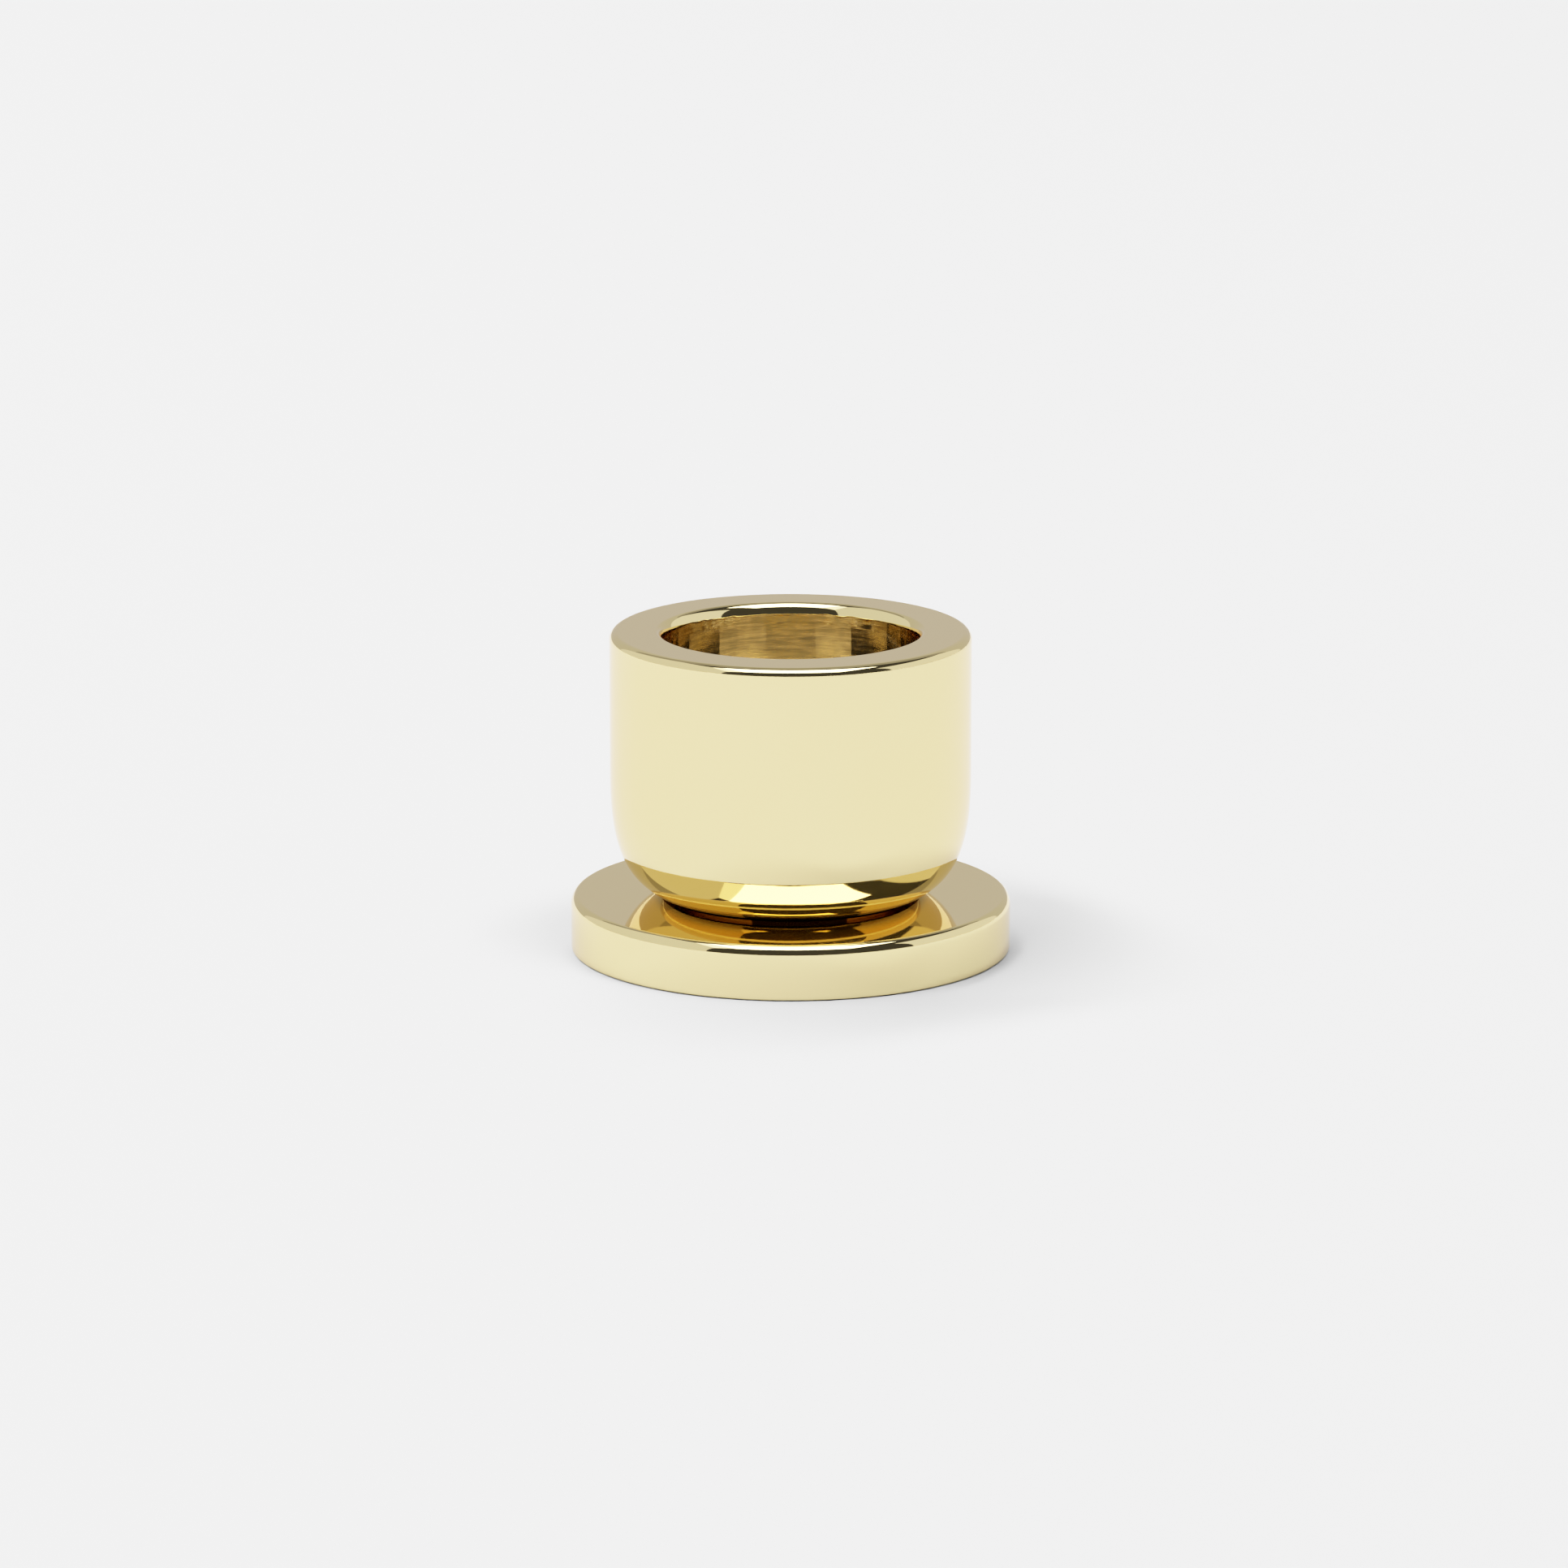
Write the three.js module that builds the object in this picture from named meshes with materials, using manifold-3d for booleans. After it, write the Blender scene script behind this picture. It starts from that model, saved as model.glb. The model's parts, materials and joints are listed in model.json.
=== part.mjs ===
// Candle holder in turned brass: a thick-walled cup on a round base disc, held by one screw from below.
// Millimetres, +Z up. The origin is the centre of the underside, on the surface that the holder stands on.
import * as THREE from "three";
import { ParametricGeometry } from "three/addons/geometries/ParametricGeometry.js";
import { mergeVertices } from "three/addons/utils/BufferGeometryUtils.js";
import Module from "manifold-3d";

const wasm = await Module();
wasm.setup();

// Driving dimensions
const TOTAL_HEIGHT = 29.4;
const BASE_DIAMETER = 40;
const BASE_TOP = 5; // height of the base's upper face
const CUP_DIAMETER = 32.8;
const SOCKET_DIAMETER = 23; // takes the flat foot of a 22 mm candle
const SOCKET_DEPTH = 5.5;

// Facets
const SEGMENTS = 64; // sides of each turned surface
const SMALL_SEGMENTS = 24; // sides of the screw and of the washer's bore
const CORNER_STEPS = 12; // along the cup's lower corner
const EDGE_STEPS = 3; // across a rounded edge
const SMALL_EDGE_STEPS = 2; // across the smallest ones
const HEAD_STEPS = 4; // along the screw head's dome

// Edge breaks
const RIM_EDGE = 0.75;
const MOUTH_WIDTH = 0.75;
const MOUTH_HEIGHT = 1;
const BASE_EDGE_WIDTH = 0.68;
const BASE_EDGE_HEIGHT = 0.95;
const BASE_FOOT_EDGE = 0.2;
const SOCKET_FLOOR_EDGE = 0.1;

// The cup's lower corner is a Bezier curve, from its shoulder up to the straight wall. The shoulder is held just
// clear of the base by a low foot, which leaves a dark line between the two.
const FOOT_RADIUS = 9.4;
const FOOT_HEIGHT = 0.2;
const SHOULDER_RADIUS = 11.8; // where the curve starts
const SHOULDER_RISE = THREE.MathUtils.degToRad(25); // slope of the curve's start
const SHOULDER_PULL = 3.8; // length of the curve's handle there
const WALL_FOOT = 16.3; // height where the curve meets the straight wall
const WALL_PULL = 6.6; // length of the handle there

// Felt pad, glued into a recess in the underside and standing barely proud of the brass
const PAD_DIAMETER = 34;
const PAD_THICKNESS = 1;
const PAD_STANDS_PROUD = 0.05;
const PAD_CLEARANCE = 0.3; // radial, in its recess

// M4 x 8 button head screw, with its head below the base's web and its thread in the cup
const SCREW_LENGTH = 8;
const THREAD_RADIUS = 2;
const THREAD_PITCH = 0.7;
const THREAD_DEPTH = 0.43;
const THREAD_RUNOUT = 0.4; // plain stretch at each end of the thread
const THREAD_RINGS = 40;
const HEAD_RADIUS = 3.8;
const HEAD_HEIGHT = 2.2;
const HEAD_FACE_RADIUS = 2;
const HEAD_WALL = 0.5; // height of the head's straight side
const HEAD_GAP = 0.05; // between the head and the pad
const HEX_ACROSS_FLATS = 2.5;
const HEX_DEPTH = 1.3;

// Toothed lock washer, between the screw head and the base
const WASHER_RADIUS = 4;
const WASHER_ROOT_RADIUS = 3.1; // between the teeth
const WASHER_BORE_RADIUS = 2.15;
const WASHER_THICKNESS = 0.5;
const WASHER_TEETH = 12;
const TOOTH_BASE = 0.75; // a tooth's widths at its root and its tip, as shares of one step
const TOOTH_TIP = 0.45;

// Holes for the screw
const COUNTERBORE_RADIUS = 4.3;
const CLEARANCE_HOLE_RADIUS = 2.2;
const TAPPED_HOLE_RADIUS = 2.1;
const TAPPED_HOLE_DEPTH = 7;
const DRILL_TIP_SLOPE = Math.tan(THREE.MathUtils.degToRad(31)); // rise of the hole's conical end

// Heights that follow from the sizes above
const headFace = PAD_THICKNESS + HEAD_GAP;
const headUnderside = headFace + HEAD_HEIGHT;
const counterboreEnd = headUnderside + WASHER_THICKNESS;
const socketFloor = TOTAL_HEIGHT - SOCKET_DEPTH;

const brass = new THREE.MeshStandardMaterial({ color: 0xe8c877, roughness: 0.08, metalness: 1 });
const steel = new THREE.MeshStandardMaterial({ color: 0xb9bcc0, roughness: 0.3, metalness: 1 });
const felt = new THREE.MeshStandardMaterial({ color: 0x2a2826, roughness: 0.95, metalness: 0 });

// A point of a profile: radius from the axis, and height.
const point = (r, z) => new THREE.Vector2(r, z);

// Points of a quarter ellipse in place of the square corner at (r, z). It turns between two directions,
// given in degrees, where 0 is away from the axis and 90 is up.
function rounded(r, z, width, height, from, to, steps) {
  const middle = THREE.MathUtils.degToRad((from + to) / 2);
  const centreR = r - width * Math.sign(Math.cos(middle));
  const centreZ = z - height * Math.sign(Math.sin(middle));
  return Array.from({ length: steps + 1 }, (_, i) => {
    const angle = THREE.MathUtils.degToRad(from + ((to - from) * i) / steps);
    return point(centreR + width * Math.cos(angle), centreZ + height * Math.sin(angle));
  });
}

// An edge break of one radius.
const edge = (r, z, size, from, to, steps) => rounded(r, z, size, size, from, to, steps);

// Turns a profile about the Z axis. With the profile going up the outside, the faces point out.
function turned(profile) {
  return new THREE.LatheGeometry(profile, SEGMENTS).rotateX(Math.PI / 2);
}

function toSolid(geometry) {
  const bare = geometry.clone();
  bare.deleteAttribute("normal");
  bare.deleteAttribute("uv");
  const merged = mergeVertices(bare, 1e-3);
  return new wasm.Manifold(
    new wasm.Mesh({
      numProp: 3,
      vertProperties: merged.attributes.position.array,
      triVerts: new Uint32Array(merged.index.array),
    }),
  );
}

function toGeometry(solid) {
  const { vertProperties, triVerts } = solid.getMesh();
  return new THREE.BufferGeometry()
    .setAttribute("position", new THREE.BufferAttribute(vertProperties, 3))
    .setIndex(new THREE.BufferAttribute(triVerts, 1));
}

function named(name, geometry, material) {
  const mesh = new THREE.Mesh(geometry, material);
  mesh.name = name;
  return mesh;
}

// Cup: one turned piece, with the tapped hole from below and the candle socket from above.
function candleCup() {
  const outer = CUP_DIAMETER / 2;
  const bore = SOCKET_DIAMETER / 2;
  const threadEnd = BASE_TOP + TAPPED_HOLE_DEPTH;
  const shoulder = BASE_TOP + FOOT_HEIGHT;
  const pullOut = SHOULDER_PULL * Math.cos(SHOULDER_RISE);
  const pullUp = SHOULDER_PULL * Math.sin(SHOULDER_RISE);
  const corner = new THREE.CubicBezierCurve(
    point(SHOULDER_RADIUS, shoulder),
    point(SHOULDER_RADIUS + pullOut, shoulder + pullUp),
    point(outer, WALL_FOOT - WALL_PULL),
    point(outer, WALL_FOOT),
  );
  const profile = [
    point(0, threadEnd + TAPPED_HOLE_RADIUS * DRILL_TIP_SLOPE),
    point(TAPPED_HOLE_RADIUS, threadEnd),
    point(TAPPED_HOLE_RADIUS, BASE_TOP),
    point(FOOT_RADIUS, BASE_TOP),
    point(FOOT_RADIUS, shoulder),
    ...corner.getPoints(CORNER_STEPS),
    ...edge(outer, TOTAL_HEIGHT, RIM_EDGE, 0, 90, EDGE_STEPS),
    ...rounded(bore, TOTAL_HEIGHT, MOUTH_WIDTH, MOUTH_HEIGHT, 90, 180, EDGE_STEPS),
    ...edge(bore, socketFloor, SOCKET_FLOOR_EDGE, 0, -90, SMALL_EDGE_STEPS),
    point(0, socketFloor),
  ];
  return named("candle_cup", turned(profile), brass);
}

// Base disc: a recess for the pad, a counterbore for the screw head and washer, and a hole through its web.
function baseDisc() {
  const outer = BASE_DIAMETER / 2;
  const recess = PAD_DIAMETER / 2 + PAD_CLEARANCE;
  const profile = [
    point(COUNTERBORE_RADIUS, PAD_THICKNESS),
    point(recess, PAD_THICKNESS),
    point(recess, PAD_STANDS_PROUD),
    ...edge(outer, PAD_STANDS_PROUD, BASE_FOOT_EDGE, -90, 0, SMALL_EDGE_STEPS),
    ...rounded(outer, BASE_TOP, BASE_EDGE_WIDTH, BASE_EDGE_HEIGHT, 0, 90, EDGE_STEPS),
    point(CLEARANCE_HOLE_RADIUS, BASE_TOP),
    point(CLEARANCE_HOLE_RADIUS, counterboreEnd),
    point(COUNTERBORE_RADIUS, counterboreEnd),
    point(COUNTERBORE_RADIUS, PAD_THICKNESS),
  ];
  return named("base_disc", turned(profile), brass);
}

function feltPad() {
  const radius = PAD_DIAMETER / 2;
  const profile = [point(0, 0), point(radius, 0), point(radius, PAD_THICKNESS), point(0, PAD_THICKNESS)];
  return named("felt_pad", turned(profile), felt);
}

// Button head screw, head down. Each ring of the thread has a radius that changes with the angle round the
// axis, so that the crest winds up the shank.
function baseScrew() {
  const rootRadius = THREAD_RADIUS - THREAD_DEPTH;
  const tip = headUnderside + SCREW_LENGTH;
  const threadStart = headUnderside + THREAD_RUNOUT;
  const threadEnd = tip - THREAD_RUNOUT;
  const domeWidth = HEAD_RADIUS - HEAD_FACE_RADIUS;
  const domeHeight = HEAD_HEIGHT - HEAD_WALL;
  const rows = [
    point(0, headFace),
    ...rounded(HEAD_RADIUS, headFace, domeWidth, domeHeight, -90, 0, HEAD_STEPS),
    point(HEAD_RADIUS, headUnderside),
    point(rootRadius, headUnderside),
    ...Array.from({ length: THREAD_RINGS + 1 }, (_, i) =>
      point(rootRadius, threadStart + ((threadEnd - threadStart) * i) / THREAD_RINGS),
    ),
    point(rootRadius, tip),
    point(0, tip),
  ];
  const surface = (turn, along, target) => {
    const { x: plainRadius, y: z } = rows[Math.round(along * (rows.length - 1))];
    const angle = turn * 2 * Math.PI;
    const pitches = z / THREAD_PITCH - turn;
    const ridge = Math.abs(2 * (pitches - Math.floor(pitches)) - 1); // 1 at a crest, 0 at a root
    const threaded = z > threadStart && z < threadEnd;
    const radius = threaded ? rootRadius + THREAD_DEPTH * ridge : plainRadius;
    target.set(radius * Math.cos(angle), radius * Math.sin(angle), z);
  };
  const body = new ParametricGeometry(surface, SMALL_SEGMENTS, rows.length - 1);
  const hexRadius = HEX_ACROSS_FLATS / Math.sqrt(3);
  const key = new THREE.CylinderGeometry(hexRadius, hexRadius, 2 * HEX_DEPTH, 6);
  key.rotateX(Math.PI / 2).translate(0, 0, headFace);
  return named("base_screw", toGeometry(toSolid(body).subtract(toSolid(key))), steel);
}

function lockWasher() {
  const outline = new THREE.Shape();
  const step = (2 * Math.PI) / WASHER_TEETH;
  const toothCorners = [
    { radius: WASHER_ROOT_RADIUS, share: -TOOTH_BASE / 2 },
    { radius: WASHER_RADIUS, share: -TOOTH_TIP / 2 },
    { radius: WASHER_RADIUS, share: TOOTH_TIP / 2 },
    { radius: WASHER_ROOT_RADIUS, share: TOOTH_BASE / 2 },
  ];
  const corners = Array.from({ length: WASHER_TEETH }, (_, tooth) =>
    toothCorners.map(({ radius, share }) => {
      const angle = (tooth + share) * step;
      return point(radius * Math.cos(angle), radius * Math.sin(angle));
    }),
  );
  outline.setFromPoints(corners.flat());
  outline.holes.push(new THREE.Path().absarc(0, 0, WASHER_BORE_RADIUS, 0, 2 * Math.PI, true));
  const geometry = new THREE.ExtrudeGeometry(outline, {
    depth: WASHER_THICKNESS,
    bevelEnabled: false,
    curveSegments: SMALL_SEGMENTS,
  });
  return named("lock_washer", geometry.translate(0, 0, headUnderside), steel);
}

const holder = new THREE.Group();
holder.add(candleCup(), baseDisc(), feltPad(), baseScrew(), lockWasher());

export default holder;
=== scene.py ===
"""Looks of the brass candle holder: polished metal, its screw, washer and felt pad, in a pale studio.

Metres, +Z up, in the CAD model's frame. The front is -Y, where the camera stands.
"""

import json
import math

import bmesh
import bpy
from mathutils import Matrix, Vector, noise


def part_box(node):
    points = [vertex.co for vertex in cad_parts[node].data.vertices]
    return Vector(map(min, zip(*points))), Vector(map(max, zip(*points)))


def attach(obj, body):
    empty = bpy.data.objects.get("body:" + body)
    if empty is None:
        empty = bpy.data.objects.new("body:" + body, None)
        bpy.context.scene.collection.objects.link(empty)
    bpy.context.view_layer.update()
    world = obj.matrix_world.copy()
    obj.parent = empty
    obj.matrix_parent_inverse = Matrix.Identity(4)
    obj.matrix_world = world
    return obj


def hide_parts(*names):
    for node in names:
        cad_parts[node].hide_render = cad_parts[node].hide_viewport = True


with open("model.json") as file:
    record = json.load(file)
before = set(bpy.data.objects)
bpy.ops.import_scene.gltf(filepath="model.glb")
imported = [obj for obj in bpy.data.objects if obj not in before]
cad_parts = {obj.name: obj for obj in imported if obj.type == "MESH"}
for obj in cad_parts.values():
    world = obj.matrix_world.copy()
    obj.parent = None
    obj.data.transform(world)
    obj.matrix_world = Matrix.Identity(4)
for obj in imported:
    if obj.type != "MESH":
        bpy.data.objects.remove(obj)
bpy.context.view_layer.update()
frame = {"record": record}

MM = 0.001
TAU = 2 * math.pi

# Sizes that the frame gives
cup_low, cup_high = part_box("candle_cup")
base_low, base_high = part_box("base_disc")
pad_low, pad_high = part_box("felt_pad")
screw_low, screw_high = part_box("base_screw")
washer_low, washer_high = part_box("lock_washer")
mounts = {mount["name"]: mount for mount in frame["record"]["mounts"]}
SOCKET_FLOOR = mounts["socket_floor"]["pos_m"][2]

# Cup
SOCKET_RADIUS = 11.5 * MM
RIM_EDGE = (0.75 * MM, 0.75 * MM)  # width and height of the rounding, as for all the edges below
MOUTH_EDGE = (0.75 * MM, 1.3 * MM)
SOCKET_FLOOR_EDGE = (0.1 * MM, 0.1 * MM)
TAPPED_RADIUS = 2.1 * MM
TAPPED_DEPTH = 7 * MM
DRILL_TIP_SLOPE = math.tan(math.radians(31))

# The cup's lower corner: a Bezier curve from the shoulder over the foot, up to the straight wall
FOOT_RADIUS = 9.4 * MM
FOOT_HEIGHT = 0.2 * MM
SHOULDER_RADIUS = 11.8 * MM
SHOULDER_RISE = math.radians(25)  # slope of the curve's start
SHOULDER_PULL = 3.8 * MM  # lengths of the curve's handles
WALL_FOOT = 16.3 * MM
WALL_PULL = 6.6 * MM

# The socket was bored after the mouth was polished. It is cut a little wider than the mouth's rounding, and
# raggedly where it starts.
LIP_CUT = 0.018 * MM
LIP_RAGGED = 1.6  # unevenness of the cut round the mouth, as a share of it
LIP_NOTCHES = (9, 31)  # how fast its coarse and its fine unevenness change round the mouth
FINE_NOTCHES = 0.7  # size of the fine ones, as a share of the coarse ones
LIP_FADE = (1.9 * MM, 1.4 * MM)  # below the rim, between which the unevenness comes in
GROOVE_PITCH = 0.17 * MM  # turning marks
GROOVE_ROWS = 6  # rings of the mesh in each groove
GROOVE_DEPTH = 0.0007 * MM
GROOVE_UNEVENNESS = 1.2
WAVE_DEPTH = 0.0008 * MM  # of the broader waves beside them
WAVE_PITCH = 0.5 * MM
BORE_GAP = 0.03 * MM  # between its rings and the roundings above and below

# Base
BASE_EDGE = (0.68 * MM, 0.95 * MM)
BASE_FOOT_EDGE = (0.2 * MM, 0.2 * MM)
PAD_RECESS_CLEARANCE = 0.3 * MM
COUNTERBORE_RADIUS = 4.3 * MM
CLEARANCE_RADIUS = 2.2 * MM

# Screw and washer
THREAD_PITCH = 0.7 * MM
THREAD_RADIUS = 2 * MM
THREAD_DEPTH = 0.43 * MM
THREAD_RUNOUT = 0.4 * MM
THREAD_FLAT = 1.15  # how far the thread's flanks would rise past the flat that cuts off its crest
THREAD_ROWS = 10  # rings of the mesh in each pitch
HEAD_FACE_RADIUS = 2 * MM
HEAD_HEIGHT = 2.2 * MM
HEAD_WALL = 0.5 * MM
HEX_ACROSS_FLATS = 2.5 * MM
HEX_DEPTH = 1.3 * MM
HEX_CHAMFER = 0.12 * MM
HEX_FLOOR = (0.8, 0.35 * MM)  # its drilled floor: the width, as a share of the hexagon's, and the depth
HEAD_EDGE = (0.1 * MM, 0.1 * MM)
TIP_CHAMFER = 0.3 * MM
WASHER_ROOT_RADIUS = 3.1 * MM
WASHER_BORE_RADIUS = 2.15 * MM
WASHER_SHEET = 0.3 * MM  # the rest of its height is the twist of the teeth
WASHER_TEETH = 12
TOOTH_BASE, TOOTH_TIP = 0.75, 0.45  # a tooth's widths, as shares of one step

# Felt pad
FELT_LUMP = 0.05 * MM
FELT_SOFT_EDGE = 0.22 * MM
FELT_RINGS = 56  # of the mesh across its face

SEGMENTS = 384  # sides of each turned surface
SCREW_SEGMENTS = 96
CORNER_STEPS = 120  # rings along the cup's lower corner
MOUTH_STEPS = 60  # rings across the mouth's rounding
EDGE_LEAD = 0.02 * MM  # from a rounding to the ring beside it, which keeps the flat's shading straight
SHARP_CORNER = math.radians(22)


# ---------------------------------------------------------------- mesh tools


def rounded(corner, size, start, end, steps=16):
    """Profile points of a quarter ellipse in place of the square corner at (r, z).

    It turns from start to end degrees, where 0 is away from the axis and 90 is up. One more point lies just
    before it, and one just after it."""
    width, height = size
    middle = math.radians((start + end) / 2)
    centre_r = corner[0] - math.copysign(width, math.cos(middle))
    centre_z = corner[1] - math.copysign(height, math.sin(middle))

    def at(degrees):
        angle = math.radians(degrees)
        return Vector((centre_r + width * math.cos(angle), centre_z + height * math.sin(angle)))

    arc = [at(start + (end - start) * i / steps) for i in range(steps + 1)]
    before = arc[0] - EDGE_LEAD * (Vector(corner) - arc[0]).normalized()
    after = arc[-1] - EDGE_LEAD * (Vector(corner) - arc[-1]).normalized()
    return [tuple(point) for point in (before, *arc, after)]


def bezier(start, start_pull, end_pull, end, steps):
    """Points of a cubic Bezier curve."""
    points = []
    for i in range(steps + 1):
        t = i / steps
        weights = ((1 - t) ** 3, 3 * (1 - t) ** 2 * t, 3 * (1 - t) * t * t, t**3)
        handles = (start, start_pull, end_pull, end)
        points.append(tuple(sum(w * h[axis] for w, h in zip(weights, handles)) for axis in (0, 1)))
    return points


def revolved(name, rings, closed=False, segments=SEGMENTS):
    """A mesh turned about the Z axis. A ring is a point (r, z), or a function of the angle that gives one.

    The rings go up the outside. A ring on the axis is one vertex, and a closed profile joins its ends."""
    vertices, loops = [], []
    for ring in rings:
        place = ring if callable(ring) else (lambda angle, point=ring: point)
        on_axis = not callable(ring) and ring[0] < 1e-9
        loop = []
        for i in range(1 if on_axis else segments):
            angle = TAU * i / segments
            r, z = place(angle)
            loop.append(len(vertices))
            vertices.append((r * math.cos(angle), r * math.sin(angle), z))
        loops.append(loop)
    faces = []
    pairs = list(zip(loops, loops[1:]))
    if closed:
        pairs.append((loops[-1], loops[0]))
    for lower, upper in pairs:
        for i in range(segments):
            after = (i + 1) % segments
            sides = ((lower, i), (lower, after), (upper, after), (upper, i))
            corners = [loop[side % len(loop)] for loop, side in sides]
            faces.append(list(dict.fromkeys(corners)))
    mesh = bpy.data.meshes.new(name)
    mesh.from_pydata(vertices, [], faces)
    return finished(mesh)


def finished(mesh):
    """The object of a mesh, smooth with sharp corners."""
    mesh.validate()
    mesh.shade_smooth()
    mesh.set_sharp_from_angle(angle=SHARP_CORNER)
    piece = bpy.data.objects.new(mesh.name, mesh)
    bpy.context.scene.collection.objects.link(piece)
    return piece


def dressed(piece, node, slot, *materials):
    """Gives a piece its materials and puts it in place of its CAD node."""
    for material in materials:
        piece.data.materials.append(material)
    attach(piece, "root")
    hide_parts(node)
    return piece


# ---------------------------------------------------------------- materials


class Nodes:
    """Short ways to add and join the nodes of a material or world."""

    def __init__(self, owner):
        owner.use_nodes = True
        self.tree = owner.node_tree

    def add(self, kind, inputs=None, **settings):
        node = self.tree.nodes.new("ShaderNode" + kind)
        for key, value in settings.items():
            setattr(node, key, value)
        for key, value in (inputs or {}).items():
            if isinstance(value, bpy.types.NodeSocket):
                self.tree.links.new(value, node.inputs[key])
            else:
                node.inputs[key].default_value = value
        return node

    def math(self, operation, first, second=0.0, third=0.0):
        node = self.add("Math", {0: first, 1: second, 2: third}, operation=operation)
        return node.outputs[0]

    def remap(self, value, low, high, to_low, to_high):
        inputs = {"Value": value, "From Min": low, "From Max": high, "To Min": to_low, "To Max": to_high}
        return self.add("MapRange", inputs).outputs["Result"]

    def object_place(self):
        """X, Y and Z in the object's own space, and the distance from the Z axis."""
        x, y, z = self.add("SeparateXYZ", {0: self.add("TexCoord").outputs["Object"]}).outputs
        radius = self.math("SQRT", self.math("MULTIPLY_ADD", x, x, self.math("MULTIPLY", y, y)))
        return x, y, z, radius

    def lathe_noise(self, around, along, detail=2.0):
        """Noise that runs round the axis, in rings on a wall and on a floor alike."""
        x, y, z, radius = self.object_place()
        turn = [self.math("MULTIPLY", self.math("DIVIDE", side, radius), around) for side in (x, y)]
        rings = self.math("MULTIPLY", self.math("ADD", z, radius), along)
        place = self.add("CombineXYZ", {0: turn[0], 1: turn[1], 2: rings}).outputs[0]
        return self.add("TexNoise", {"Vector": place, "Scale": 1.0, "Detail": detail}).outputs["Fac"]

    def stretched_noise(self, scale, stretch, detail=3.0):
        """Noise in the object's own space, with its coordinates multiplied by stretch first."""
        coordinates = self.add("TexCoord").outputs["Object"]
        pulled = self.add("VectorMath", {0: coordinates, 1: stretch}, operation="MULTIPLY").outputs[0]
        return self.add("TexNoise", {"Vector": pulled, "Scale": scale, "Detail": detail}).outputs["Fac"]


def new_material(name):
    material = bpy.data.materials.new(name)
    nodes = Nodes(material)
    return material, nodes, nodes.tree.nodes["Principled BSDF"]


BRASS = (0.84, 0.682, 0.325)
BRASS_WARMER = (1, 0.98, 0.96)  # shares of it, in the redder patches
BRASS_COOLER = (0.99, 1, 1.02)  # and in the greener ones
BRASS_PATCHES = 90  # per metre, as for the scale of all noise here
BRASS_EDGE_TINT = (1.0, 0.93, 0.88, 1)  # the reflection at a glancing angle


def brass(nodes, shader):
    """Brass colour, a little redder and greener in patches."""
    warmer = (*[channel * share for channel, share in zip(BRASS, BRASS_WARMER)], 1)
    cooler = (*[channel * share for channel, share in zip(BRASS, BRASS_COOLER)], 1)
    patches = nodes.stretched_noise(BRASS_PATCHES, (1, 1, 1), 2)
    colour = nodes.add("Mix", {"Factor": patches, "A": warmer, "B": cooler}, data_type="RGBA")
    shader.inputs["Metallic"].default_value = 1
    shader.inputs["Specular Tint"].default_value = BRASS_EDGE_TINT
    return colour.outputs["Result"]


SEAM_RADIUS = 11.2 * MM
SEAM_HEIGHT = 5.1 * MM
SEAM_SPREAD = (1.7 * MM, 0.8 * MM)  # across and up
# painted shade: the darker brass colour in the seam between the cup and the base, where shade falls
SEAM_PAINTED_SHADE = (0.62, 0.54, 0.33, 1)


def seam_shade_mask(nodes):
    """1 in the seam between the cup and the base, where the brass colour is darkened as painted shade, and 0
    elsewhere.
    """
    height, radius = nodes.object_place()[2:]
    off_radius = nodes.math("ABSOLUTE", nodes.math("SUBTRACT", radius, SEAM_RADIUS))
    off_height = nodes.math("ABSOLUTE", nodes.math("SUBTRACT", height, SEAM_HEIGHT))
    near_radius = nodes.remap(off_radius, SEAM_SPREAD[0] / 2, SEAM_SPREAD[0], 1, 0)
    near_height = nodes.remap(off_height, SEAM_SPREAD[1] / 2, SEAM_SPREAD[1], 1, 0)
    return nodes.math("MULTIPLY", near_radius, near_height)


HAZE_ROUGHNESS = (0.03, 0.06)
HAIRLINE_ROUGHNESS = 0.03  # more, in a hairline
HAIRLINE_BUMP = 0.012


def polished_brass():
    """Mirror polish, with the faint haze and hairlines that a polishing wheel leaves round the axis."""
    material, nodes, shader = new_material("polished_brass")
    unshaded = brass(nodes, shader)
    # painted shade: the brass colour is darkened in the seam between the cup and the base
    seam = seam_shade_mask(nodes)
    colour = nodes.add("Mix", {"Factor": seam, "A": unshaded, "B": SEAM_PAINTED_SHADE}, data_type="RGBA")
    nodes.tree.links.new(colour.outputs["Result"], shader.inputs["Base Color"])
    haze = nodes.stretched_noise(160, (1, 1, 1), 4)
    hairlines = nodes.stretched_noise(900, (1, 1, 30), 2)
    rough = nodes.remap(haze, 0.35, 0.75, *HAZE_ROUGHNESS)
    scratched = nodes.remap(hairlines, 0.62, 0.8, 0, HAIRLINE_ROUGHNESS)
    nodes.tree.links.new(nodes.math("ADD", rough, scratched), shader.inputs["Roughness"])
    bump = nodes.add("Bump", {"Height": hairlines, "Strength": HAIRLINE_BUMP, "Distance": 0.02 * MM})
    nodes.tree.links.new(bump.outputs[0], shader.inputs["Normal"])
    return material


BORE_PAINTED_STREAKS = ((0.50, 0.42, 0.25, 1), (0.84, 0.70, 0.42, 1))  # painted reflection: the brass colour in a darker streak and in a lighter one
BORE_ROUGHNESS = (0.03, 0.08)
LIP_ROUGHNESS = 0.02  # more, where the tool entered
LIP_DEPTH = (2.2 * MM, 1.0 * MM)  # below the rim, over which it comes in
BORE_BUMP = 0.01
BROAD_STREAKS = (3.8, 3000)  # how fast they change round the axis and up it
FINE_STREAKS = (10, 11000)
BROAD_SHARE = 0.6


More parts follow.
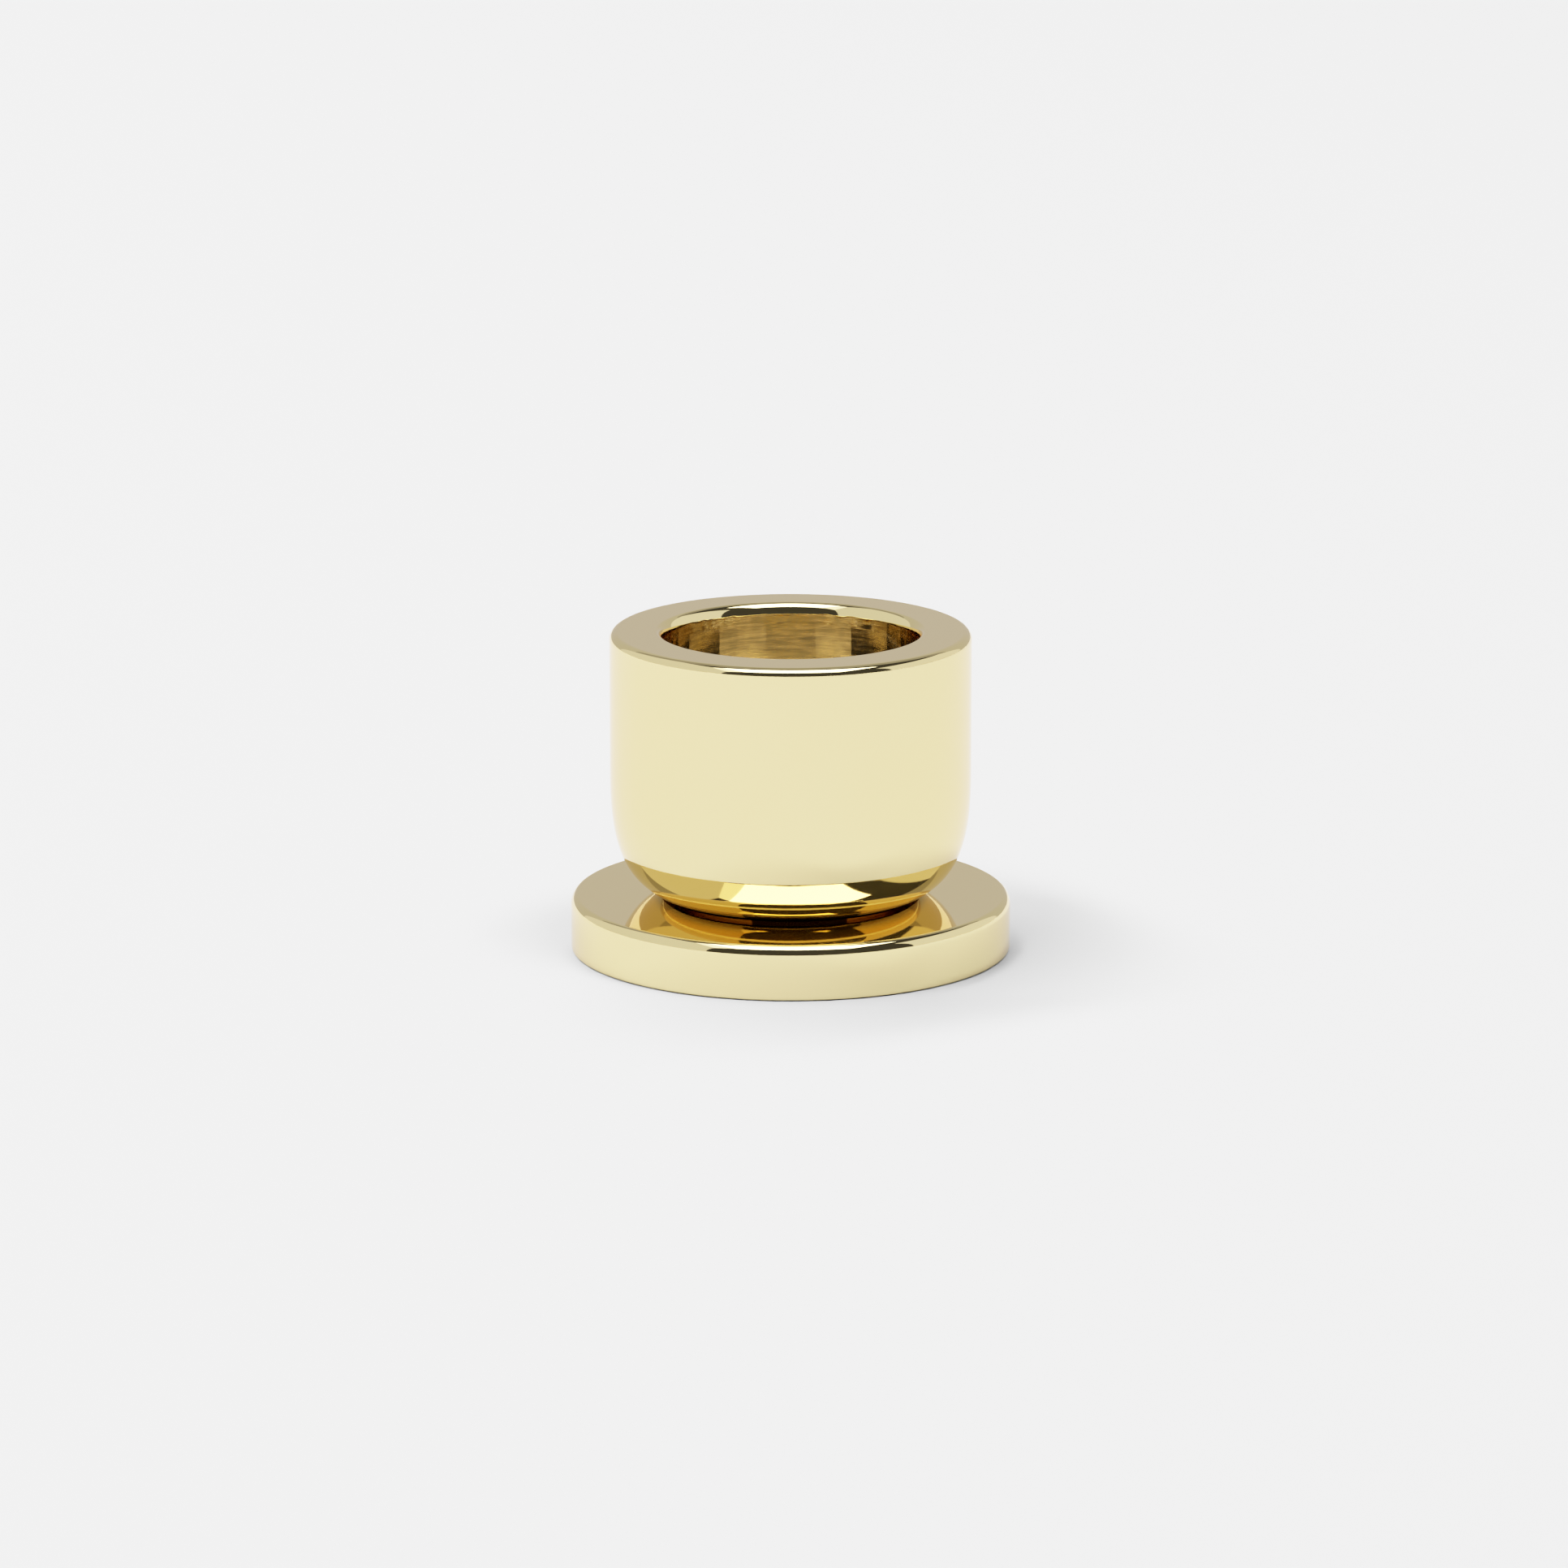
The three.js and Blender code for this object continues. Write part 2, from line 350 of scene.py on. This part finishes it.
def turned_brass():
    """The unpolished socket: streaks round the axis, rougher across them than along them, with darker and
    lighter brass colour in them as painted reflection of the turning marks.
    """
    material, nodes, shader = new_material("turned_brass")
    broad = nodes.lathe_noise(*BROAD_STREAKS)
    fine = nodes.lathe_noise(*FINE_STREAKS, 3)
    fine_share = nodes.math("MULTIPLY", fine, 1 - BROAD_SHARE)
    streaks = nodes.math("MULTIPLY_ADD", broad, BROAD_SHARE, fine_share)
    painted_dark_streak, painted_bright_streak = BORE_PAINTED_STREAKS
    # painted reflection: the streaks' colour swings between darker and lighter brass
    factor = nodes.remap(streaks, 0.40, 0.60, 0, 1)
    colour = nodes.add("Mix", {"Factor": factor, "A": painted_dark_streak, "B": painted_bright_streak}, data_type="RGBA")
    nodes.tree.links.new(colour.outputs["Result"], shader.inputs["Base Color"])
    shader.inputs["Metallic"].default_value = 1
    shader.inputs["Specular Tint"].default_value = BRASS_EDGE_TINT
    height = nodes.object_place()[2]
    deep, shallow = (cup_high.z - depth for depth in LIP_DEPTH)
    near_lip = nodes.remap(height, deep, shallow, 0, LIP_ROUGHNESS)
    streaked = nodes.math("MULTIPLY", near_lip, nodes.remap(streaks, 0.36, 0.64, 0.2, 1))
    rough = nodes.math("ADD", nodes.remap(streaks, 0.36, 0.64, *BORE_ROUGHNESS), streaked)
    nodes.tree.links.new(rough, shader.inputs["Roughness"])
    shader.inputs["Anisotropic"].default_value = 1
    shader.inputs["Anisotropic Rotation"].default_value = 0.25
    tangent = nodes.add("Tangent", direction_type="RADIAL", axis="Z")
    nodes.tree.links.new(tangent.outputs[0], shader.inputs["Tangent"])
    bump = nodes.add("Bump", {"Height": streaks, "Strength": BORE_BUMP, "Distance": 0.03 * MM})
    nodes.tree.links.new(bump.outputs[0], shader.inputs["Normal"])
    return material


ZINC = ((0.56, 0.58, 0.61, 1), (0.70, 0.70, 0.69, 1))
ZINC_ROUGHNESS = (0.2, 0.38)


def plated_steel():
    """Bright zinc plating, with fine turning marks and a mottled blue-grey tone."""
    material, nodes, shader = new_material("plated_steel")
    mottle = nodes.stretched_noise(700, (1, 1, 1), 4)
    colour = nodes.add("Mix", {"Factor": mottle, "A": ZINC[0], "B": ZINC[1]}, data_type="RGBA")
    nodes.tree.links.new(colour.outputs["Result"], shader.inputs["Base Color"])
    shader.inputs["Metallic"].default_value = 1
    marks = nodes.stretched_noise(1500, (1, 1, 12), 3)
    nodes.tree.links.new(nodes.remap(marks, 0.3, 0.7, *ZINC_ROUGHNESS), shader.inputs["Roughness"])
    bump = nodes.add("Bump", {"Height": marks, "Strength": 0.2, "Distance": 0.01 * MM})
    nodes.tree.links.new(bump.outputs[0], shader.inputs["Normal"])
    return material


FELT_DARK = (0.018, 0.016, 0.015, 1)
FELT_HAIRS = (0.11, 0.10, 0.095, 1)


def wool_felt():
    """Pressed wool felt: matted fibres in near-black, with lighter hairs and a soft sheen."""
    material, nodes, shader = new_material("felt")
    fibres = nodes.stretched_noise(2600, (1, 1, 1), 6)
    clumps = nodes.stretched_noise(500, (1, 1, 1), 3)
    matted = nodes.math("MULTIPLY_ADD", fibres, 0.6, nodes.math("MULTIPLY", clumps, 0.4))
    colour = nodes.add("ValToRGB", {"Fac": matted})
    ramp = colour.color_ramp.elements
    ramp[0].position, ramp[0].color = 0.35, FELT_DARK
    ramp[1].position, ramp[1].color = 0.70, FELT_HAIRS
    nodes.tree.links.new(colour.outputs["Color"], shader.inputs["Base Color"])
    shader.inputs["Roughness"].default_value = 0.95
    shader.inputs["Sheen Weight"].default_value = 0.5
    shader.inputs["Sheen Roughness"].default_value = 0.5
    bump = nodes.add("Bump", {"Height": matted, "Strength": 0.8, "Distance": 0.15 * MM})
    nodes.tree.links.new(bump.outputs[0], shader.inputs["Normal"])
    return material


# ---------------------------------------------------------------- the pieces


def on_circle(angle, layer=0.0):
    """A point for looking up noise that closes on itself round the axis."""
    return Vector((math.cos(angle), math.sin(angle), layer))


def fade(value, low, high):
    """0 at low, 1 at high, and in proportion between them."""
    return min(max((value - low) / (high - low), 0), 1)


def bored(angle, z):
    """Radius that the boring tool left: grooves of uneven depth on broader waves, ragged at the lip."""
    pitches = z / GROOVE_PITCH
    unevenness = 1 + GROOVE_UNEVENNESS * noise.noise(3 * on_circle(angle, 0.5 * round(pitches)))
    groove = GROOVE_DEPTH * (0.5 - 0.5 * math.cos(TAU * pitches)) * unevenness
    waves = WAVE_DEPTH * (0.5 + noise.noise(on_circle(angle, z / WAVE_PITCH)))
    coarse, fine = LIP_NOTCHES
    ragged = noise.noise(coarse * on_circle(angle)) + FINE_NOTCHES * noise.noise(fine * on_circle(angle, 5))
    at_lip = fade(z, cup_high.z - LIP_FADE[0], cup_high.z - LIP_FADE[1])
    return SOCKET_RADIUS + LIP_CUT * (1 + LIP_RAGGED * ragged * at_lip) + groove + waves


def mouth_radius(z):
    """Radius of the polished mouth, whose rounding ends at the socket's radius."""
    width, height = MOUTH_EDGE
    up = fade(z, cup_high.z - height, cup_high.z)
    return SOCKET_RADIUS + width * (1 - math.sqrt(1 - up * up))


def mouth_row(r, z):
    """A ring of the mouth or the bore, on whichever of the two is wider."""
    return lambda angle: (max(r, bored(angle, z)), z)


def cup_corner(outer, foot):
    shoulder = foot + FOOT_HEIGHT
    start_pull = (
        SHOULDER_RADIUS + SHOULDER_PULL * math.cos(SHOULDER_RISE),
        shoulder + SHOULDER_PULL * math.sin(SHOULDER_RISE),
    )
    end_pull = (outer, WALL_FOOT - WALL_PULL)
    return bezier((SHOULDER_RADIUS, shoulder), start_pull, end_pull, (outer, WALL_FOOT), CORNER_STEPS)


def candle_cup():
    outer, rim, foot = cup_high.x, cup_high.z, cup_low.z
    thread_end = foot + TAPPED_DEPTH
    below = [
        (0, thread_end + TAPPED_RADIUS * DRILL_TIP_SLOPE),
        (TAPPED_RADIUS, thread_end),
        (TAPPED_RADIUS, foot),
        (FOOT_RADIUS, foot),
        (FOOT_RADIUS, foot + FOOT_HEIGHT),
    ]
    outside = [*cup_corner(outer, foot), *rounded((outer, rim), RIM_EDGE, 0, 90)]
    mouth = rounded((SOCKET_RADIUS, rim), MOUTH_EDGE, 90, 180, MOUTH_STEPS)
    bore_top = mouth[-1][1] - BORE_GAP
    bore_foot = SOCKET_FLOOR + SOCKET_FLOOR_EDGE[1] + BORE_GAP
    rows = round(GROOVE_ROWS * (bore_top - bore_foot) / GROOVE_PITCH)
    bore = [(SOCKET_RADIUS, bore_top + (bore_foot - bore_top) * row / rows) for row in range(rows)]
    inside = [mouth_row(*point) for point in (*mouth, *bore)]
    floor = rounded((SOCKET_RADIUS + LIP_CUT, SOCKET_FLOOR), SOCKET_FLOOR_EDGE, 0, -90, 8)
    rings = [*below, *outside, *inside, *floor, (0, SOCKET_FLOOR)]
    cup = revolved("turned_cup", rings)
    first_inside = len(below) + len(outside)
    for polygon in cup.data.polygons:
        x, y, z = polygon.center
        in_socket = polygon.index // SEGMENTS >= first_inside
        unpolished = in_socket and mouth_radius(z) < bored(math.atan2(y, x), z)
        polygon.material_index = 1 if unpolished else 0
    return dressed(cup, "candle_cup", "polished_brass", polished, turned)


def base_disc():
    outer, foot, top = base_high.x, base_low.z, base_high.z
    recess_radius = pad_high.x + PAD_RECESS_CLEARANCE
    recess_top, counterbore_top = pad_high.z, washer_high.z
    rings = [
        (COUNTERBORE_RADIUS, recess_top),
        (recess_radius, recess_top),
        (recess_radius, foot),
        *rounded((outer, foot), BASE_FOOT_EDGE, -90, 0, 8),
        *rounded((outer, top), BASE_EDGE, 0, 90),
        (outer / 2, top),
        (CLEARANCE_RADIUS, top),
        (CLEARANCE_RADIUS, counterbore_top),
        (COUNTERBORE_RADIUS, counterbore_top),
    ]
    return dressed(revolved("turned_base", rings, closed=True), "base_disc", "polished_brass", polished)


def hexagon(angle):
    """Radius of the key's socket at an angle, with its corners on multiples of 60 degrees."""
    from_flat = angle % (TAU / 6) - TAU / 12
    return HEX_ACROSS_FLATS / 2 / math.cos(from_flat)


def thread_row(z):
    """A ring of the thread, whose crest winds up the shank and fades out at both ends."""
    start = screw_low.z + HEAD_HEIGHT + THREAD_RUNOUT
    end = screw_high.z - THREAD_RUNOUT

    def place(angle):
        pitches = z / THREAD_PITCH - angle / TAU
        ridge = abs(2 * (pitches % 1) - 1)  # 1 at a crest, 0 at a root
        height = fade(min(z - start, end - z), 0, THREAD_RUNOUT)
        return THREAD_RADIUS - THREAD_DEPTH + THREAD_DEPTH * min(THREAD_FLAT * ridge, 1) * height, z

    return place


def base_screw():
    face, tip = screw_low.z, screw_high.z
    under_head = face + HEAD_HEIGHT
    head_radius = screw_high.x
    recess = face + HEX_DEPTH
    root = THREAD_RADIUS - THREAD_DEPTH
    dome = (head_radius - HEAD_FACE_RADIUS, HEAD_HEIGHT - HEAD_WALL)
    rows = round(THREAD_ROWS * (tip - under_head) / THREAD_PITCH)
    rings = [
        (0, recess + HEX_FLOOR[1]),
        lambda angle: (HEX_FLOOR[0] * hexagon(angle), recess),
        lambda angle: (hexagon(angle), recess),
        lambda angle: (hexagon(angle), face + HEX_CHAMFER),
        lambda angle: (hexagon(angle) + HEX_CHAMFER, face),
        *rounded((head_radius, face), dome, -90, 0, 12),
        *rounded((head_radius, under_head), HEAD_EDGE, 0, 90, 4),
        (root, under_head),
        *[thread_row(under_head + (tip - under_head) * (i + 0.5) / rows) for i in range(rows)],
        (root, tip - TIP_CHAMFER),
        (root - TIP_CHAMFER, tip),
        (0, tip),
    ]
    screw = revolved("button_head_screw", rings, segments=SCREW_SEGMENTS)
    return dressed(screw, "base_screw", "plated_steel", steel)


def washer_columns():
    """(angle at the root, angle at the tip, twist from -1 to 1) of each line along the washer's teeth.

    Also how many lines there are on one tooth."""
    step = TAU / WASHER_TEETH
    across = 6
    columns = []
    for tooth in range(WASHER_TEETH):
        for i in range(across + 1):
            twist = 2 * i / across - 1
            at_root = (tooth + twist * TOOTH_BASE / 2) * step
            at_tip = (tooth + twist * TOOTH_TIP / 2) * step
            columns.append((at_root, at_tip, twist))
    return columns, across + 1


def lock_washer():
    """An external tooth washer: a thin flat ring whose teeth are twisted, so that their corners bite."""
    middle = (washer_low.z + washer_high.z) / 2
    half_sheet = WASHER_SHEET / 2
    lift = (washer_high.z - washer_low.z - WASHER_SHEET) / 2
    columns, per_tooth = washer_columns()
    tooth_rows = 4
    form = bmesh.new()
    levels = {}
    for c, (at_root, at_tip, twist) in enumerate(columns):
        for row in range(-2, tooth_rows + 1):
            out = max(row, 0) / tooth_rows
            ring = WASHER_BORE_RADIUS + (WASHER_ROOT_RADIUS - WASHER_BORE_RADIUS) * (row + 2) / 2
            radius = ring if row <= 0 else WASHER_ROOT_RADIUS + (washer_high.x - WASHER_ROOT_RADIUS) * out
            angle = at_root + (at_tip - at_root) * out
            rise = lift * twist * out
            x, y = radius * math.cos(angle), radius * math.sin(angle)
            for side in (-1, 1):
                levels[c, row, side] = form.verts.new((x, y, middle + rise + side * half_sheet))
    count = len(columns)
    for c in range(count):
        after = (c + 1) % count
        in_tooth = c % per_tooth != per_tooth - 1
        last = tooth_rows if in_tooth else 0
        for row in range(-2, last):
            top = [levels[k, r, 1] for k, r in ((c, row), (c, row + 1), (after, row + 1), (after, row))]
            bottom = [levels[k, r, -1] for k, r in ((c, row), (after, row), (after, row + 1), (c, row + 1))]
            form.faces.new(top)
            form.faces.new(bottom)
        edges = [((c, -2), (after, -2)), ((after, last), (c, last))]
        if not in_tooth:
            edges += [((c, row + 1), (c, row)) for row in range(tooth_rows)]
            edges += [((after, row), (after, row + 1)) for row in range(tooth_rows)]
        for (k, r), (k2, r2) in edges:
            form.faces.new([levels[k, r, -1], levels[k, r, 1], levels[k2, r2, 1], levels[k2, r2, -1]])
    bmesh.ops.recalc_face_normals(form, faces=form.faces)
    mesh = bpy.data.meshes.new("toothed_washer")
    form.to_mesh(mesh)
    form.free()
    return dressed(finished(mesh), "lock_washer", "plated_steel", steel)


def felt_pad():
    """A pressed felt disc, lumpy and with a ragged, softly rounded edge, inside the space of its solid."""
    radius, top = pad_high.x, pad_high.z
    lump, soft = FELT_LUMP, FELT_SOFT_EDGE

    def felted(r, z, inward, up):
        """A ring whose surface wanders by up to a lump, towards the middle of the felt."""

        def place(angle):
            where = Vector((r * math.cos(angle), r * math.sin(angle), z)) / MM
            depth = lump * (0.5 + 0.5 * noise.noise(1.3 * where) + 0.35 * noise.noise(5 * where))
            depth = min(max(depth, 0), 1.5 * lump)
            return r - inward * 2.5 * depth, z + up * depth

        return place

    reach = radius - soft
    rings = [(0, lump / 2)]
    rings += [felted(reach * i / FELT_RINGS, 0, 0, 1) for i in range(1, FELT_RINGS)]
    for i in range(7):
        angle = math.radians(-90 + 15 * i)
        out, up = math.cos(angle), math.sin(angle)
        rings.append(felted(reach + soft * out, soft + soft * up, out, -up))
    rings += [felted(radius, soft + (top - soft) * i / 5, 1, 0) for i in range(1, 5)]
    rings += [(radius - 0.15 * MM, top), (radius / 2, top), (0, top)]
    return dressed(revolved("glued_felt", rings), "felt_pad", "felt", felt)


polished = polished_brass()
turned = turned_brass()
steel = plated_steel()
felt = wool_felt()

candle_cup()
base_disc()
base_screw()
lock_washer()
felt_pad()


# ---------------------------------------------------------------- studio

STUDIO_HEIGHT = 3.0  # of the softbox over the floor
FLOOR_TONE = 0.80
FLOOR_HALF_WIDTH = 12.0


def glowing(name, strength):
    material = bpy.data.materials.new(name)
    nodes = Nodes(material)
    nodes.tree.nodes.clear()
    emission = nodes.add("Emission", {"Color": (1, 1, 1, 1), "Strength": strength})
    output = nodes.add("OutputMaterial")
    nodes.tree.links.new(emission.outputs[0], output.inputs["Surface"])
    return material


def light_shape(mesh, strength, lights):
    """Puts a glowing shape in the scene, seen only by what is named: the metal, the floor, or the view past
    them.
    """
    mesh.materials.append(glowing(mesh.name, strength))
    shape = bpy.data.objects.new(mesh.name, mesh)
    bpy.context.scene.collection.objects.link(shape)
    shape.visible_glossy = "metal" in lights
    shape.visible_diffuse = "floor" in lights
    shape.visible_camera = "view" in lights
    shape.visible_shadow = False


def card(name, corners, strength, lights="metal"):
    """A flat panel. Its corners are in softbox heights."""
    mesh = bpy.data.meshes.new(name)
    mesh.from_pydata([tuple(STUDIO_HEIGHT * c for c in corner) for corner in corners], [], [(0, 1, 2, 3)])
    light_shape(mesh, strength, lights)


def dome(name, radius, strength, lights):
    """Half a sphere over the floor."""
    form = bmesh.new()
    bmesh.ops.create_uvsphere(form, u_segments=48, v_segments=24, radius=radius)
    below = [face for face in form.faces if face.calc_center_median().z < 0]
    bmesh.ops.delete(form, geom=below, context="FACES")
    mesh = bpy.data.meshes.new(name)
    form.to_mesh(mesh)
    form.free()
    light_shape(mesh, strength, lights)


def plane_x(x, y0, y1, z0, z1):
    return [(x, y0, z0), (x, y1, z0), (x, y1, z1), (x, y0, z1)]


def plane_y(y, x0, x1, z0, z1):
    return [(x0, y, z0), (x1, y, z0), (x1, y, z1), (x0, y, z1)]


def plane_z(z, x0, x1, y0, y1):
    return [(x0, y0, z), (x1, y0, z), (x1, y1, z), (x0, y1, z)]


# Brightness of each panel
SOFTBOX = 9.0
LEFT_WALL = 1.0
LEFT_WING = 2.4
RIGHT_WALL = 1.12
BACK_WALL = 0.63
BACK_WALL_ABOVE = 0.36
FLOOR_LIGHT_BEHIND = 16.0
FLOOR_LIGHT_LEFT = 22.0
FLOOR_LIGHT_RIGHT = 23.0
BACKDROP = 1.59
BACKDROP_RADIUS = 2.4
ROOM_TONE = 0.045  # what the brass sees between the panels

# The edges of the panels show in the brass as sharp lines
softbox = [(-0.56, -0.80, 1.0), (0.62, -0.80, 1.0), (0.62, 0.02, 1.0), (-0.42, 0.02, 1.0)]
left_wing = [(-1.0, -1.04, 1.0), (-0.56, -0.80, 1.0), (-0.42, 0.02, 1.0), (-1.0, 0.02, 1.9)]
behind = [(-1.0, 0.2, 1), (-0.7, 0.1, 1), (0.2, 0.65, 1), (0.2, 0.95, 1)]
left = [(-0.8, 0, 1), (-0.5, 0, 1), (-0.2, -0.5, 1), (-0.4, -0.7, 1)]

card("softbox", softbox, SOFTBOX)
card("left_wall", plane_x(-1.0, -1.04, 1.0, 0.0, 1.9), LEFT_WALL)
card("left_wing", left_wing, LEFT_WING)
card("right_wall", plane_x(1.0, -0.445, 1.0, 0.0, 0.98), RIGHT_WALL)
card("back_wall", plane_y(1.0, -1.0, 1.0, 0.0, 0.80), BACK_WALL)
card("back_wall_above", plane_y(1.0, -1.0, 1.0, 0.80, 4.0), BACK_WALL_ABOVE)
card("floor_light_behind", behind, FLOOR_LIGHT_BEHIND, "floor")
card("floor_light_left", left, FLOOR_LIGHT_LEFT, "floor")
card("floor_light_right", plane_z(1, 0.17, 0.47, -0.33, -0.03), FLOOR_LIGHT_RIGHT, "floor")
dome("backdrop", BACKDROP_RADIUS, BACKDROP, "view")

world = bpy.data.worlds.new("dark_room")
bpy.context.scene.world = world
Nodes(world).tree.nodes["Background"].inputs["Color"].default_value = (ROOM_TONE, ROOM_TONE, ROOM_TONE, 1)


def floor_plane():
    half = FLOOR_HALF_WIDTH
    mesh = bpy.data.meshes.new("floor")
    mesh.from_pydata(plane_z(0, -half, half, -half, half), [], [(0, 1, 2, 3)])
    floor = bpy.data.objects.new("floor", mesh)
    bpy.context.scene.collection.objects.link(floor)
    material, nodes, shader = new_material("pale_floor")
    shader.inputs["Base Color"].default_value = (FLOOR_TONE, FLOOR_TONE, FLOOR_TONE, 1)
    shader.inputs["Roughness"].default_value = 0.9
    shader.inputs["Specular IOR Level"].default_value = 0.0
    mesh.materials.append(material)


floor_plane()


# ---------------------------------------------------------------- camera

CAMERA_ELEVATION = math.radians(13.4)
CAMERA_DISTANCE = 0.70
CAMERA_AIM = Vector((-0.6, 0, 15.1)) * MM
LENS = 177.0


def camera():
    data = bpy.data.cameras.new("camera")
    data.lens = LENS
    data.clip_start, data.clip_end = 0.01, 50
    eye = bpy.data.objects.new("camera", data)
    bpy.context.scene.collection.objects.link(eye)
    forward = Vector((0, math.cos(CAMERA_ELEVATION), -math.sin(CAMERA_ELEVATION)))
    eye.location = CAMERA_AIM - forward * CAMERA_DISTANCE
    eye.rotation_mode = "QUATERNION"
    eye.rotation_quaternion = forward.to_track_quat("-Z", "Y")
    bpy.context.scene.camera = eye


camera()


# ---------------------------------------------------------------- film

FILM_WHITE = 6.0  # the light at the curve's end
FILM_SPEED = 1.33
FILM_POINTS = 12  # on the curve


def film():
    """Light rolls off towards white, as 1 - exp(-speed * light)."""
    view = bpy.context.scene.view_settings
    view.view_transform = "Standard"
    view.use_curve_mapping = True
    mapping = view.curve_mapping
    mapping.white_level = (FILM_WHITE,) * 3
    curve = mapping.curves[3]
    for i in range(FILM_POINTS):
        x = (i / (FILM_POINTS - 1)) ** 2
        y = 1 - math.exp(-FILM_SPEED * FILM_WHITE * x)
        if i == 0:
            curve.points[0].location = (0, 0)
        elif i == FILM_POINTS - 1:
            curve.points[-1].location = (1, y)
        else:
            curve.points.new(x, y)
    mapping.update()


film()

LIGHT_BOUNCES = 20  # light is reflected many times between the cup and the base


def light_paths():
    cycles = bpy.context.scene.cycles
    cycles.max_bounces = LIGHT_BOUNCES
    cycles.glossy_bounces = LIGHT_BOUNCES
    cycles.caustics_reflective = False


light_paths()
